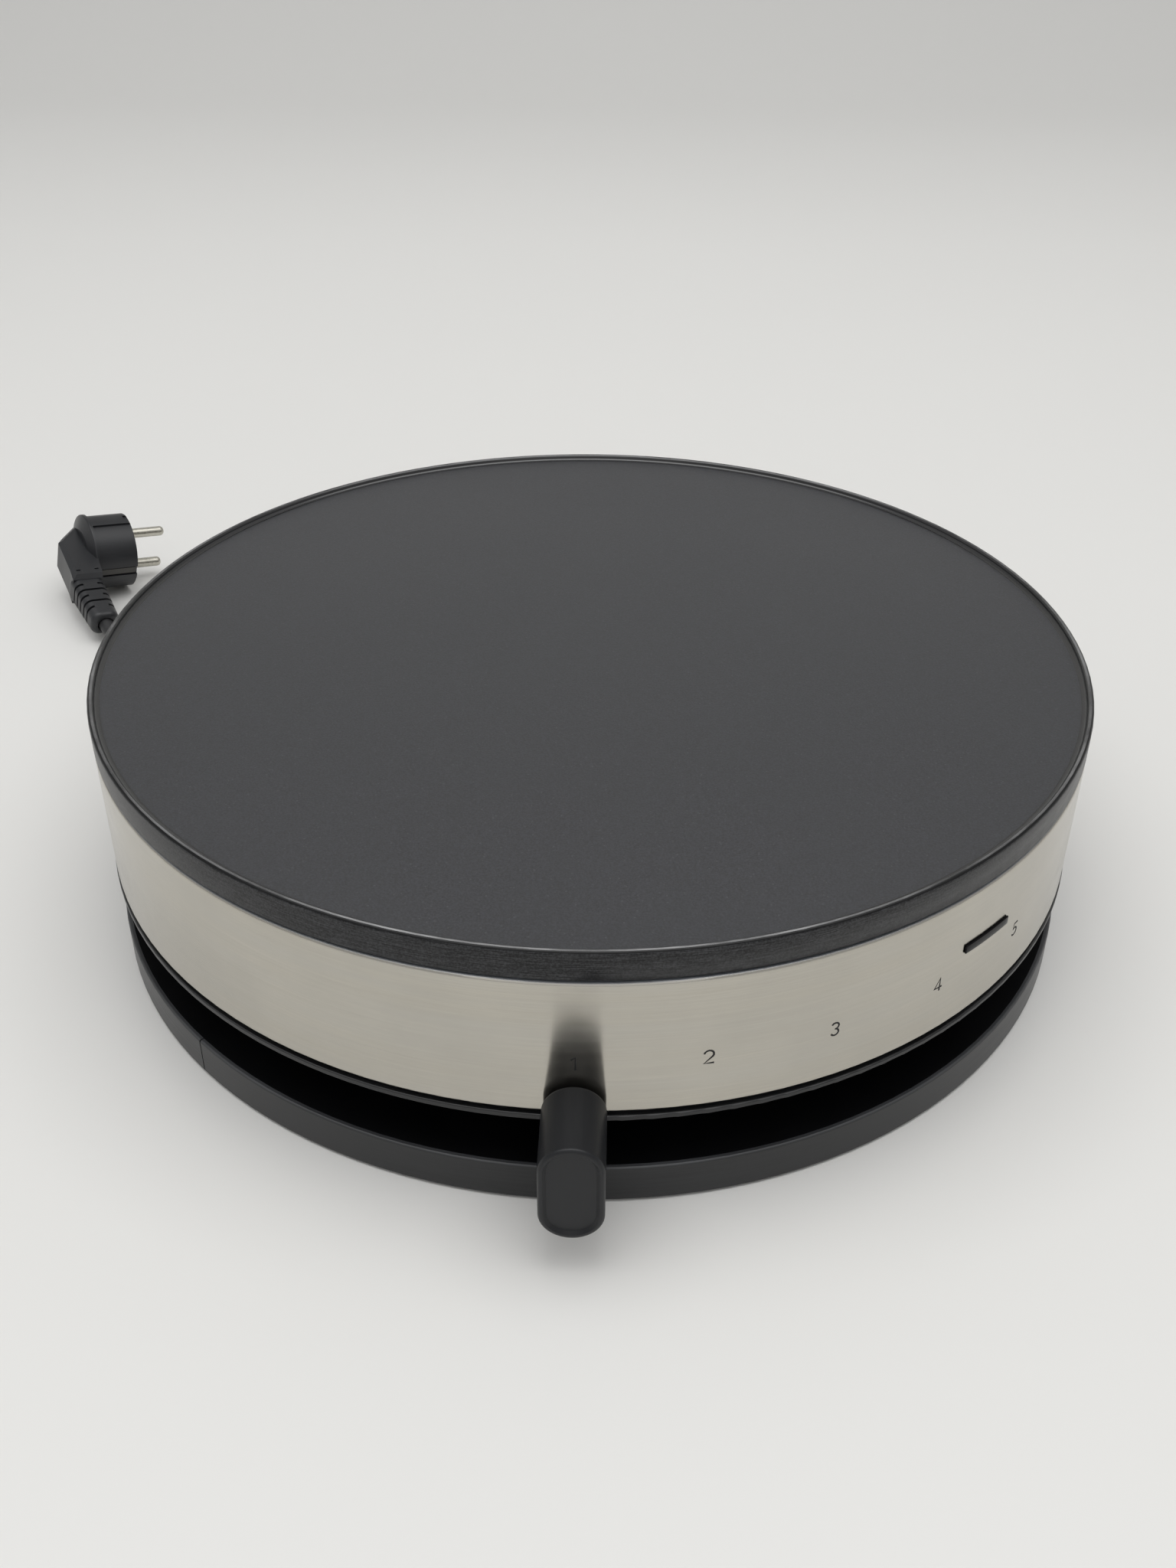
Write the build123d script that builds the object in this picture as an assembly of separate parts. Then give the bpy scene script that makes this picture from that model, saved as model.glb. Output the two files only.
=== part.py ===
from build123d import *
import os
from math import asin, cos, degrees, pi, radians, sin, tan

# Electric crepe maker. Millimetres, +Z up, front towards -Y.
# The origin is on the table, on the axis of the round body.
# An azimuth is measured from the front towards +X.

# ---------------------------------------------------------------- driving dimensions
OUTER_R = 175.0
FOOT_STANDOFF = 0.8
BASE_H = 13.5
SLOT_H = 20.0
LEDGE_H = 2.0
SHADOW_GAP = 1.4
DRUM_H = 48.4
GASKET_H = 1.0
PLATE_H = 9.9

WALL = 2.5
SHEET = 0.8
RUN_GAP = 0.05
SEAT_GAP = 0.3

# Heights of the stack, from the table up.
BASE_Z = FOOT_STANDOFF
DECK_Z = BASE_Z + BASE_H
TRAY_Z = DECK_Z + SLOT_H
LEDGE_Z = TRAY_Z + LEDGE_H
DRUM_Z = LEDGE_Z + SHADOW_GAP
DRUM_TOP = DRUM_Z + DRUM_H
PLATE_Z = DRUM_TOP + GASKET_H
PLATE_TOP = PLATE_Z + PLATE_H

# Plate
RIM_W = 2.2
LIP_DEPTH = 2.1
LIP_RUN = 1.6
COOK_Z = PLATE_TOP - LIP_DEPTH
DISC_T = 6.5
DISC_Z = COOK_Z - DISC_T
SKIRT_R = OUTER_R - 4.5
RIB_T = 3.0
RIB_H = 4.0

# Heating element
ELEMENT_R = 105.0
ELEMENT_TUBE_R = 4.0
ELEMENT_Z = DISC_Z - 4.4
ELEMENT_GAP_DEG = 44.0
ELEMENT_MID_AZ = 135.0
ELEMENT_BEND_R = 12.0
ELEMENT_LEG = 12.0
LEG_HOLE_R = 10.0
BOSS_HALF_W = 7.5
BOSS_Z = ELEMENT_Z - 4.8

# Clamping studs
STUD_PCD_R = 120.0
STUD_R = 2.45
STUD_AZIMUTHS = (70.0, 160.0, 250.0, 340.0)
STUD_BOSS_R = 7.0
STUD_BOSS_Z = BOSS_Z - 1.0
SHIELD_Z = STUD_BOSS_Z - SHEET
PAD_TOP = TRAY_Z + 7.7
NUT_H = 4.0

# Thermostat and lever
FLANGE_Z = DISC_Z - RIB_H
THERMO_R = 16.0
THERMO_Z = 62.0
THERMO_SCREW_R = 21.0
BUSH_Z = 52.0
SHAFT_R = 3.0
HUB_R = 7.0
HUB_BORE_R = HUB_R + RUN_GAP
ARM_Z = DECK_Z + 6.0
ARM_H = 8.0
ARM_W = 12.0
KNOB_W = 18.9
KNOB_H = 35.5
KNOB_Z = DECK_Z + 0.4
KNOB_DISH_EDGE = 1.5
KNOB_DISH_SLOPE = 1.0
KNOB_DISH_DEPTH = 1.0
KNOB_REAR_R = OUTER_R + 1.4
KNOB_FRONT_R = OUTER_R + 26.4
LEVER_REST_AZ = -1.2
LEVER_TRAVEL = 51.0

# Pedestal, base and cover
PEDESTAL_R = 146.0
FLANGE_W = 13.0
SCREW_PCD_R = 138.5
PILOT_R = 1.5
TRIM_T = 1.6
TRIM_SEAM_AZ = -45.9
PAN_R = OUTER_R - TRIM_T
DECK_HOLE_R = 126.0
COVER_Z = BASE_Z + 1.0
COVER_T = 2.0
COVER_R = PAN_R - WALL - SEAT_GAP
FOOT_PCD_R = 148.0
FOOT_R = 9.0
COVER_SCREW_PCD_R = 163.0

# Indicator slot in the drum
LENS_AZ = 43.5
LENS_Z = 65.3
LENS_L = 22.0
LENS_W = 3.2
LENS_SEAT = 1.4
LENS_FLANGE_T = 1.6

# Mains cord
CORD_R = 3.5
CORD_LAID = 3.6
OUTLET_Z = 8.0
COIL_CENTRE = (-43.0, 250.0)
COIL_MID_R = 36.0
COIL_LAYERS = 2
COIL_COLUMNS = 3
COIL_LEAVE_DEG = 130.0
COIL_FLOOR = 0.1

# Plug: two round pins, the cord leaves at a right angle to them.
PLUG_AT = (-239.4, 235.9)
PLUG_YAW = 33.6
PLUG_DIP = 8.3
PLUG_ROLL = 14.0
PLUG_R = 19.3
BARREL_L = 20.8
BARREL_RIM = 1.6
GRIP_SINK = 1.0
GROOVE_HALF_W = 2.35
GROOVE_DEPTH = 2.4
SPINE_HALF = 8.8
PIN_R = 2.4
PIN_L = 19.0
PIN_ROOT_R = 3.0
PIN_ROOT_L = 7.0
PIN_PITCH = 19.0
RELIEF_BACK = 29.4
RELIEF_OUT = 58.0
RELIEF_SLOT_W = 1.3
CORD_SEAT = 2.0


# ---------------------------------------------------------------- helpers
def turned(*corners, arc=360.0, start=0.0):
    """Turns (radius, height, corner radius) corners about Z."""
    points = [(r, 0, z) for r, z, _ in corners]
    radii = [c for _, _, c in corners]
    outline = FilletPolyline(*points, radius=radii, close=True)
    solid = revolve(make_face(outline), Axis.Z, revolution_arc=arc)
    return Rot(0, 0, start) * solid


def polar(radius, azimuth, z=0.0):
    """Point at an azimuth from the front."""
    turn = radians(azimuth - 90)
    return Pos(radius * cos(turn), radius * sin(turn), z)


def around(radius, azimuths):
    """Locations at azimuths, each turned so that its X points outwards."""
    return [Rot(0, 0, a - 90) * Pos(radius, 0, 0) for a in azimuths]


def rod(radius, low, high):
    """Upright cylinder between two heights."""
    return extrude(Pos(0, 0, low) * Circle(radius), high - low)


def block(x0, x1, y0, y1, z0, z1):
    """Box between two corners."""
    return Pos(x0, y0, z0) * Box(x1 - x0, y1 - y0, z1 - z0, align=(Align.MIN,) * 3)


def group(solids):
    """Separate solids kept together in one node."""
    return Compound(children=[s.solid() for s in solids])


def every(count, start=0.0):
    """Evenly spaced azimuths."""
    return [start + 360.0 * i / count for i in range(count)]


def corner_radii(points, name):
    """Largest arc that each corner of a cord's route allows."""
    radii = []
    for a, b, c in zip(points, points[1:], points[2:]):
        before = Vector(b) - Vector(a)
        after = Vector(c) - Vector(b)
        half_turn = radians(before.get_angle(after)) / 2
        radii.append(0.45 * min(before.length, after.length) / tan(half_turn))
    print(name, "bend radii", [round(r, 1) for r in radii])
    return radii


def cord_tube(points, radius, name):
    """Round cord along straight runs joined by tangent arcs."""
    if len(points) > 2:
        path = FilletPolyline(*points, radius=corner_radii(points, name))
    else:
        path = Line(*points)
    section = Plane(origin=path @ 0, z_dir=path % 0) * Circle(radius)
    tube = sweep(section, path=path)
    expected = path.length * pi * radius**2
    print(name, "length", round(path.length, 1), "volume ratio", round(tube.volume / expected, 4))
    return tube


def stud_sites():
    """Axes of the four studs that clamp the plate to the tray."""
    return around(STUD_PCD_R, STUD_AZIMUTHS)


def thermostat_sites():
    """Axes of the thermostat's two screws."""
    return around(THERMO_SCREW_R, (-90, 90))


# ---------------------------------------------------------------- hot plate
def element_path():
    """Centre line of the heating element: leg, bend, ring, bend, leg."""
    half_gap = ELEMENT_GAP_DEG / 2
    first = radians(ELEMENT_MID_AZ - 90 + half_gap)
    last = radians(ELEMENT_MID_AZ - 90 + 360 - half_gap)
    middle = (first + last) / 2

    def on_ring(angle):
        return Vector(ELEMENT_R * cos(angle), ELEMENT_R * sin(angle), ELEMENT_Z)

    def end_pieces(angle, sign):
        ring_end = on_ring(angle)
        away = Vector(sin(angle), -cos(angle), 0) * sign
        down = Vector(0, 0, -1)
        centre = ring_end + down * ELEMENT_BEND_R
        half = centre + (away - down) * (ELEMENT_BEND_R * cos(radians(45)))
        foot = centre + away * ELEMENT_BEND_R
        return foot + down * ELEMENT_LEG, foot, half, ring_end

    leg_a, foot_a, half_a, ring_a = end_pieces(first, 1)
    leg_b, foot_b, half_b, ring_b = end_pieces(last, -1)
    return (
        Line(leg_a, foot_a)
        + ThreePointArc(foot_a, half_a, ring_a)
        + ThreePointArc(ring_a, on_ring(middle), ring_b)
        + ThreePointArc(ring_b, half_b, foot_b)
        + Line(foot_b, leg_b)
    )


def heating_element():
    path = element_path()
    section = Plane(origin=path @ 0, z_dir=path % 0) * Circle(ELEMENT_TUBE_R)
    return sweep(section, path=path)


def element_legs():
    """Upright axes of the element's two cold ends."""
    path = element_path()
    return [path @ 0, path @ 1]


def element_terminals():
    """Contact pin with a flat blade below each cold end."""
    blades = []
    for leg in element_legs():
        pin = Pos(leg.X, leg.Y, 0) * rod(1.6, leg.Z - 6, leg.Z)
        blade = Pos(leg.X, leg.Y, leg.Z - 10) * Box(6.3, SHEET, 10)
        blades.append(pin + blade)
    return group(blades)


def hot_plate(element):
    plate = turned(
        (0, DISC_Z, 0),
        (SKIRT_R, DISC_Z, 0.8),
        (SKIRT_R, PLATE_Z, 0),
        (OUTER_R, PLATE_Z, 0.4),
        (OUTER_R, PLATE_TOP, 0.7),
        (OUTER_R - RIM_W, PLATE_TOP, 0.4),
        (OUTER_R - RIM_W - LIP_RUN, COOK_Z, 0.9),
        (0, COOK_Z, 0),
    )
    boss = turned(
        (ELEMENT_R - BOSS_HALF_W - 1, DISC_Z + 1, 0),
        (ELEMENT_R - BOSS_HALF_W, BOSS_Z, 3.0),
        (ELEMENT_R + BOSS_HALF_W, BOSS_Z, 3.0),
        (ELEMENT_R + BOSS_HALF_W + 1, DISC_Z + 1, 0),
        arc=360 - ELEMENT_GAP_DEG,
        start=ELEMENT_MID_AZ - 90 + ELEMENT_GAP_DEG / 2,
    )
    plate += boss
    plate += [Pos(leg.X, leg.Y, 0) * rod(10, BOSS_Z, DISC_Z + 1) for leg in element_legs()]
    plate += [at * rod(STUD_BOSS_R, STUD_BOSS_Z, DISC_Z + 1) for at in stud_sites()]
    plate += rod(14, FLANGE_Z, DISC_Z + 1)
    plate += [at * rod(4.5, FLANGE_Z, DISC_Z + 1) for at in thermostat_sites()]
    inner_rib = block(26, ELEMENT_R - BOSS_HALF_W, -RIB_T / 2, RIB_T / 2, DISC_Z - RIB_H, DISC_Z + 1)
    outer_rib = block(ELEMENT_R, SKIRT_R - 4, -RIB_T / 2, RIB_T / 2, DISC_Z - RIB_H + 2, DISC_Z + 1)
    plate += [Rot(0, 0, a) * inner_rib for a in every(8, 22.5)]
    plate += [Rot(0, 0, a) * outer_rib for a in every(16, 11.25)]
    plate -= element
    plate -= [at * rod(STUD_R + RUN_GAP, STUD_BOSS_Z - 1, DISC_Z) for at in stud_sites()]
    plate -= [at * rod(PILOT_R + RUN_GAP, FLANGE_Z - 1, DISC_Z) for at in thermostat_sites()]
    return plate


def plate_gasket():
    return turned(
        (OUTER_R - 7, DRUM_TOP, 0),
        (OUTER_R - 2.5, DRUM_TOP, 0),
        (OUTER_R - 2.5, PLATE_Z, 0),
        (OUTER_R - 7, PLATE_Z, 0),
    ) - turned(
        (OUTER_R - 8, DRUM_TOP - 1, 0),
        (SKIRT_R + SEAT_GAP, DRUM_TOP - 1, 0),
        (SKIRT_R + SEAT_GAP, PLATE_Z + 1, 0),
        (OUTER_R - 8, PLATE_Z + 1, 0),
    )


def heat_shield():
    shield = turned(
        (30, SHIELD_Z, 0),
        (160, SHIELD_Z, 2.0),
        (164, SHIELD_Z + 6, 0),
        (163.2, SHIELD_Z + 6.2, 0),
        (159.6, SHIELD_Z + SHEET, 1.2),
        (30, SHIELD_Z + SHEET, 0),
    )
    holes = [at * rod(STUD_R + SEAT_GAP, SHIELD_Z - 1, STUD_BOSS_Z + 1) for at in stud_sites()]
    holes += [Pos(leg.X, leg.Y, 0) * rod(LEG_HOLE_R, SHIELD_Z - 1, SHIELD_Z + 3) for leg in element_legs()]
    return shield - holes


def thermal_cutout():
    """Small bimetal cut-out on the plate's underside, with two tabs."""
    at = polar(62, 225)
    low = DISC_Z - 7
    body = rod(8, low, DISC_Z)
    tab = block(7, 11, -3, 3, low + 2, low + 2 + SHEET)
    return at * (body + tab + Rot(0, 0, 180) * tab)


# ---------------------------------------------------------------- clamping studs
def plate_studs():
    return group([at * rod(STUD_R, TRAY_Z - NUT_H - 2, DISC_Z - 1) for at in stud_sites()])


def stud_spacers():
    tube = rod(4.5, PAD_TOP, SHIELD_Z) - rod(STUD_R + SEAT_GAP, PAD_TOP - 1, SHIELD_Z + 1)
    return group([at * tube for at in stud_sites()])


def stud_nuts():
    """Hexagon nut with its washer in one, under the tray."""
    hexagon = extrude(RegularPolygon(4.6, 6), NUT_H - 1)
    nut = Pos(0, 0, TRAY_Z - NUT_H) * hexagon + rod(5.2, TRAY_Z - 1, TRAY_Z)
    nut -= rod(STUD_R + RUN_GAP, TRAY_Z - NUT_H - 1, TRAY_Z + 1)
    return group([at * nut for at in stud_sites()])


# ---------------------------------------------------------------- drum
def lens_plane():
    """Plane on the drum's face at the indicator: X along the face, Z outwards."""
    turn = radians(LENS_AZ - 90)
    outward = Vector(cos(turn), sin(turn), 0)
    along = Vector(-sin(turn), cos(turn), 0)
    return Plane(origin=outward * OUTER_R + Vector(0, 0, LENS_Z), x_dir=along, z_dir=outward)


def steel_drum():
    """Rolled sheet band, turned in at the top and at the bottom."""
    drum = turned(
        (OUTER_R - 8, DRUM_TOP, 0),
        (OUTER_R, DRUM_TOP, 1.3),
        (OUTER_R, DRUM_Z, 1.0),
        (OUTER_R - 8.5, DRUM_Z, 0),
        (OUTER_R - 8.5, DRUM_Z + SHEET, 0),
        (OUTER_R - SHEET, DRUM_Z + SHEET, 0.2),
        (OUTER_R - SHEET, DRUM_TOP - SHEET, 0.5),
        (OUTER_R - 8, DRUM_TOP - SHEET, 0),
    )
    slot = extrude(lens_plane() * SlotOverall(LENS_L, LENS_W), 5, both=True)
    return drum - slot


def indicator_lens():
    """Slot lens that fills the window, with a flange behind the sheet."""
    face = lens_plane()
    back = LENS_SEAT + LENS_FLANGE_T
    window = extrude(face.offset(-back) * SlotOverall(LENS_L - 0.3, LENS_W - 0.3), back + 0.1)
    flange = extrude(face.offset(-back) * RectangleRounded(LENS_L + 6, LENS_W + 6, 2), LENS_FLANGE_T)
    return window + flange


def lamp_holder():
    """Open clip that carries the lamp behind the lens."""
    face = lens_plane()
    depth = 14.0
    front = LENS_SEAT + LENS_FLANGE_T
    shell = extrude(face.offset(-front - depth) * RectangleRounded(30, 12, 2), depth)
    bore = extrude(face.offset(-front - depth + 2) * Rectangle(25, 8.4), depth)
    return shell - bore


def indicator_lamp():
    face = lens_plane()
    glass = Cylinder(2.9, 18, rotation=(0, 90, 0))
    return face.offset(-8.5) * fillet(glass.edges(), 1.4)


# ---------------------------------------------------------------- tray
def screw_sites(offset):
    """Axes of the pedestal's screws, clear of the lever's window."""
    return around(SCREW_PCD_R, [90.0 + offset + 47.0 * i for i in range(6)])


def housing_tray():
    """Moulded floor of the drum. Its edge is the ledge under the steel."""
    locator_r = OUTER_R - 8.8
    tray = turned(
        (HUB_BORE_R, TRAY_Z, 0),
        (OUTER_R + 0.3, TRAY_Z, 0.4),
        (OUTER_R + 0.3, LEDGE_Z, 0.5),
        (OUTER_R - 1.6, LEDGE_Z, 0),
        (OUTER_R - 1.6, DRUM_Z, 0),
        (locator_r, DRUM_Z, 0),
        (locator_r, DRUM_Z + 6, 0.5),
        (locator_r - WALL, DRUM_Z + 6, 0.5),
        (locator_r - WALL, TRAY_Z + WALL, 1.5),
        (12, TRAY_Z + WALL, 1.5),
        (12, TRAY_Z + 14, 0.8),
        (HUB_BORE_R, TRAY_Z + 14, 0),
    )
    rib = block(11, locator_r - 1, -1, 1, TRAY_Z + WALL - 1, TRAY_Z + WALL + 4)
    tray += [Rot(0, 0, a) * rib for a in every(12, 15)]
    tray += [at * rod(7.5, TRAY_Z, PAD_TOP) for at in stud_sites()]
    tray += [at * rod(4, TRAY_Z + 1, TRAY_Z + 10) for at in screw_sites(0)]
    tray -= [at * rod(STUD_R + SEAT_GAP, TRAY_Z - 1, PAD_TOP + 1) for at in stud_sites()]
    tray -= [at * rod(PILOT_R + RUN_GAP, TRAY_Z - 1, TRAY_Z + 8.5) for at in screw_sites(0)]
    wire_hole = Pos(0, 42, 0) * rod(9, TRAY_Z - 1, TRAY_Z + 12)
    return tray - wire_hole


# ---------------------------------------------------------------- pedestal and base
def window_half_deg():
    """Angle that the arm covers at the pedestal's inner edge, with play."""
    return degrees(asin((ARM_W / 2 + 0.6) / (PEDESTAL_R - FLANGE_W)))


def pedestal_ring():
    """C-shaped flanged wall. The lever's arm swings in its window."""
    half = window_half_deg()
    first = LEVER_REST_AZ + LEVER_TRAVEL + half - 90
    sweep_deg = 360 - LEVER_TRAVEL - 2 * half
    inner = PEDESTAL_R - FLANGE_W
    wall = turned(
        (inner, DECK_Z, 0),
        (PEDESTAL_R, DECK_Z, 0.6),
        (PEDESTAL_R, TRAY_Z, 0.6),
        (inner, TRAY_Z, 0),
        (inner, TRAY_Z - WALL, 0),
        (PEDESTAL_R - WALL, TRAY_Z - WALL, 1.0),
        (PEDESTAL_R - WALL, DECK_Z + WALL, 1.0),
        (inner, DECK_Z + WALL, 0),
        arc=sweep_deg,
        start=first,
    )
    cheek = block(inner, PEDESTAL_R - 1, 0, WALL, DECK_Z, TRAY_Z)
    wall += Rot(0, 0, first) * cheek
    wall += Rot(0, 0, first + sweep_deg) * Pos(0, -WALL, 0) * cheek
    holes = [at * rod(PILOT_R + RUN_GAP, TRAY_Z - WALL - 1, TRAY_Z + 1) for at in screw_sites(0)]
    holes += [at * rod(PILOT_R + RUN_GAP, DECK_Z - 1, DECK_Z + WALL + 1) for at in screw_sites(10)]
    return wall - holes


def pedestal_screws():
    """Pan-head screws: up into the tray, and down into the base pan."""
    upward = rod(3.0, TRAY_Z - WALL - 2, TRAY_Z - WALL) + rod(PILOT_R, TRAY_Z - WALL, TRAY_Z + 7.5)
    downward = rod(3.0, DECK_Z + WALL, DECK_Z + WALL + 2) + rod(PILOT_R, DECK_Z - 5.5, DECK_Z + WALL)
    screws = [at * upward for at in screw_sites(0)]
    screws += [at * downward for at in screw_sites(10)]
    return group(screws)


def base_trim():
    """Glossy skin round the base, closed by one butt seam."""
    gap_deg = degrees(0.5 / OUTER_R)
    ring = turned(
        (PAN_R, BASE_Z, 0),
        (OUTER_R, BASE_Z, 0.5),
        (OUTER_R, DECK_Z, 0.8),
        (PAN_R, DECK_Z, 0),
        arc=360 - gap_deg,
        start=TRIM_SEAM_AZ - 90 + gap_deg / 2,
    )
    return ring - outlet_hole()


def outlet_hole():
    """Round way for the cord relief's neck through the rear wall."""
    neck = Cylinder(CORD_R + 0.7, 20, rotation=(90, 0, 0))
    return Pos(0, OUTER_R, OUTLET_Z) * neck


def cover_screw_sites():
    return around(COVER_SCREW_PCD_R, every(6, 30))


def foot_sites():
    return around(FOOT_PCD_R, every(4, 45))


def base_pan():
    """Moulded base: deck under the slot, with a skirt, ribs and bosses below."""
    wall_r = PAN_R - WALL
    pan = turned(
        (DECK_HOLE_R, DECK_Z, 0.6),
        (PAN_R, DECK_Z, 0),
        (PAN_R, BASE_Z, 0),
        (wall_r, BASE_Z, 0),
        (wall_r, DECK_Z - WALL, 1.5),
        (DECK_HOLE_R + 2, DECK_Z - WALL, 0),
        (DECK_HOLE_R + 2, DECK_Z - WALL - 3, 0),
        (DECK_HOLE_R, DECK_Z - WALL - 3, 0),
    )
    cover_top = COVER_Z + COVER_T
    rib = block(DECK_HOLE_R + 1, wall_r + 1, -1, 1, cover_top + 1, DECK_Z - 1)
    pan += [Rot(0, 0, a) * rib for a in every(16, 11.25)]
    pan += [at * rod(4, DECK_Z - 6.5, DECK_Z - 1) for at in screw_sites(10)]
    pan += [at * rod(4, cover_top, DECK_Z - 1) for at in cover_screw_sites()]
    pan -= [at * rod(PILOT_R + RUN_GAP, DECK_Z - 6, DECK_Z + 1) for at in screw_sites(10)]
    pan -= [at * rod(PILOT_R + RUN_GAP, cover_top - 1, DECK_Z - 3.5) for at in cover_screw_sites()]
    cord_way = Pos(0, DECK_HOLE_R, OUTLET_Z) * Cylinder(CORD_R + 0.5, 60, rotation=(90, 0, 0))
    return pan - outlet_hole() - cord_way


def bottom_cover():
    """Flat cover with rings of vent slots, foot holes and screw holes."""
    cover = rod(COVER_R, COVER_Z, COVER_Z + COVER_T)
    vent = extrude(Rot(0, 0, 90) * SlotOverall(16, 3), COVER_T + 2)
    for ring_r, count in ((50, 12), (68, 16), (86, 20)):
        cover -= [at * Pos(0, 0, COVER_Z - 1) * vent for at in around(ring_r, every(count))]
    cover -= [at * rod(3.1, COVER_Z - 1, COVER_Z + COVER_T + 1) for at in foot_sites()]
    cover -= [at * rod(PILOT_R + 0.2, COVER_Z - 1, COVER_Z + COVER_T + 1) for at in cover_screw_sites()]
    return cover


def rubber_feet():
    """Push-in feet: pad below the cover, neck in its hole, barb above."""
    top = COVER_Z + COVER_T
    foot = turned(
        (0, 0, 0),
        (FOOT_R, 0, 0.5),
        (FOOT_R, COVER_Z, 0.5),
        (3.0, COVER_Z, 0),
        (3.0, top, 0),
        (4.2, top, 0),
        (2.6, top + 2, 0),
        (0, top + 2, 0),
    )
    return group([at * foot for at in foot_sites()])


def cover_screws():
    screw = rod(3.0, BASE_Z + 0.1, COVER_Z) + rod(PILOT_R, COVER_Z, DECK_Z - 4)
    return group([at * screw for at in cover_screw_sites()])


# ---------------------------------------------------------------- thermostat and lever
def thermostat():
    """Body under a screwed flange, with a threaded bush and two blades."""
    body = rod(THERMO_R, THERMO_Z, FLANGE_Z - 3)
    flange = Pos(0, 0, FLANGE_Z - 3) * extrude(RectangleRounded(54, 24, 5), 3)
    bush = rod(5.0, BUSH_Z, THERMO_Z)
    collar = Pos(0, 0, THERMO_Z - 3) * extrude(RegularPolygon(8, 6), 3)
    blades = block(-4, 4, THERMO_R - 1, THERMO_R + 9, THERMO_Z + 4, THERMO_Z + 4.8)
    blades += block(-4, 4, -THERMO_R - 9, -THERMO_R + 1, THERMO_Z + 4, THERMO_Z + 4.8)
    unit = body + flange + bush + collar + blades
    unit -= rod(SHAFT_R + RUN_GAP, BUSH_Z - 1, THERMO_Z - 1)
    unit -= [at * rod(PILOT_R + RUN_GAP, FLANGE_Z - 4, FLANGE_Z + 1) for at in thermostat_sites()]
    return unit


def thermostat_screws():
    screw = rod(3.0, FLANGE_Z - 5.2, FLANGE_Z - 3) + rod(PILOT_R, FLANGE_Z - 3, DISC_Z - 1)
    return group([at * screw for at in thermostat_sites()])


def thermostat_shaft():
    shaft = rod(SHAFT_R, ARM_Z + 1, THERMO_Z - 2)
    shaft = chamfer(shaft.edges().sort_by(Axis.Z)[-1], 0.5)
    flat = block(SHAFT_R - 0.8, SHAFT_R + 1, -4, 4, ARM_Z, ARM_Z + 16)
    return shaft - flat - rod(PILOT_R + RUN_GAP, ARM_Z, ARM_Z + 12)


def lever_arm():
    """Ribbed channel from the hub out through the slot, ending in a tongue."""
    hub = rod(HUB_R, ARM_Z + 1, TRAY_Z + 16) + rod(11, ARM_Z + 1, ARM_Z + ARM_H + 2)
    joint_r = 152.0
    hub_w = 18.0

    def plan(inset):
        half_in = hub_w / 2 - inset
        half_out = ARM_W / 2 - inset
        return Polyline(
            (-half_in, -6 - inset),
            (-half_out, -joint_r + inset),
            (half_out, -joint_r + inset),
            (half_in, -6 - inset),
            close=True,
        )

    beam = Pos(0, 0, ARM_Z) * extrude(make_face(plan(0)), ARM_H)
    pocket = Pos(0, 0, ARM_Z) * extrude(make_face(plan(2)), ARM_H - WALL)
    pocket -= [block(-9, 9, -y - 1, -y + 1, ARM_Z, ARM_Z + ARM_H) for y in (40, 68, 96, 124)]
    beam -= pocket
    neck = block(-ARM_W / 2, ARM_W / 2, -KNOB_REAR_R, -joint_r, ARM_Z, ARM_Z + ARM_H)
    neck = fillet(neck.edges().filter_by(Axis.Y), 1.5)
    tongue = block(-4.5, 4.5, -KNOB_REAR_R - 14, -KNOB_REAR_R, ARM_Z + 1, ARM_Z + ARM_H - 1)
    arm = hub + beam + neck + tongue
    arm -= rod(SHAFT_R + 0.02, ARM_Z, TRAY_Z + 17)
    arm -= rod(5.3, ARM_Z - 1, ARM_Z + 1)
    return at_lever_rest(arm)


def lever_knob():
    """Obround grip, its front face sunk with sloping sides inside a narrow rim."""
    length = KNOB_FRONT_R - KNOB_REAR_R
    face = Plane(origin=(0, -KNOB_REAR_R, KNOB_Z + KNOB_H / 2), x_dir=(0, 0, 1), z_dir=(0, -1, 0))
    grip = extrude(face * SlotOverall(KNOB_H, KNOB_W), length)
    ends = grip.edges().group_by(Axis.Y)
    grip = fillet(ends[0], 1.1)
    grip = fillet(grip.edges().group_by(Axis.Y)[-1], 1.8)
    edge = 2 * KNOB_DISH_EDGE
    floor = edge + 2 * KNOB_DISH_SLOPE
    dish_floor = face.offset(length - KNOB_DISH_DEPTH) * SlotOverall(KNOB_H - floor, KNOB_W - floor)
    dish_mouth = face.offset(length) * SlotOverall(KNOB_H - edge, KNOB_W - edge)
    grip -= loft([dish_floor, dish_mouth])
    socket = block(-4.52, 4.52, -KNOB_REAR_R - 14.1, -KNOB_REAR_R + 1, ARM_Z + 0.98, ARM_Z + ARM_H - 0.98)
    return at_lever_rest(grip - socket)


def hub_screw():
    return rod(5.0, ARM_Z - 1.4, ARM_Z + 1) + rod(PILOT_R, ARM_Z + 1, ARM_Z + 11)


def at_lever_rest(piece):
    return Rot(0, 0, LEVER_REST_AZ) * piece


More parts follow.
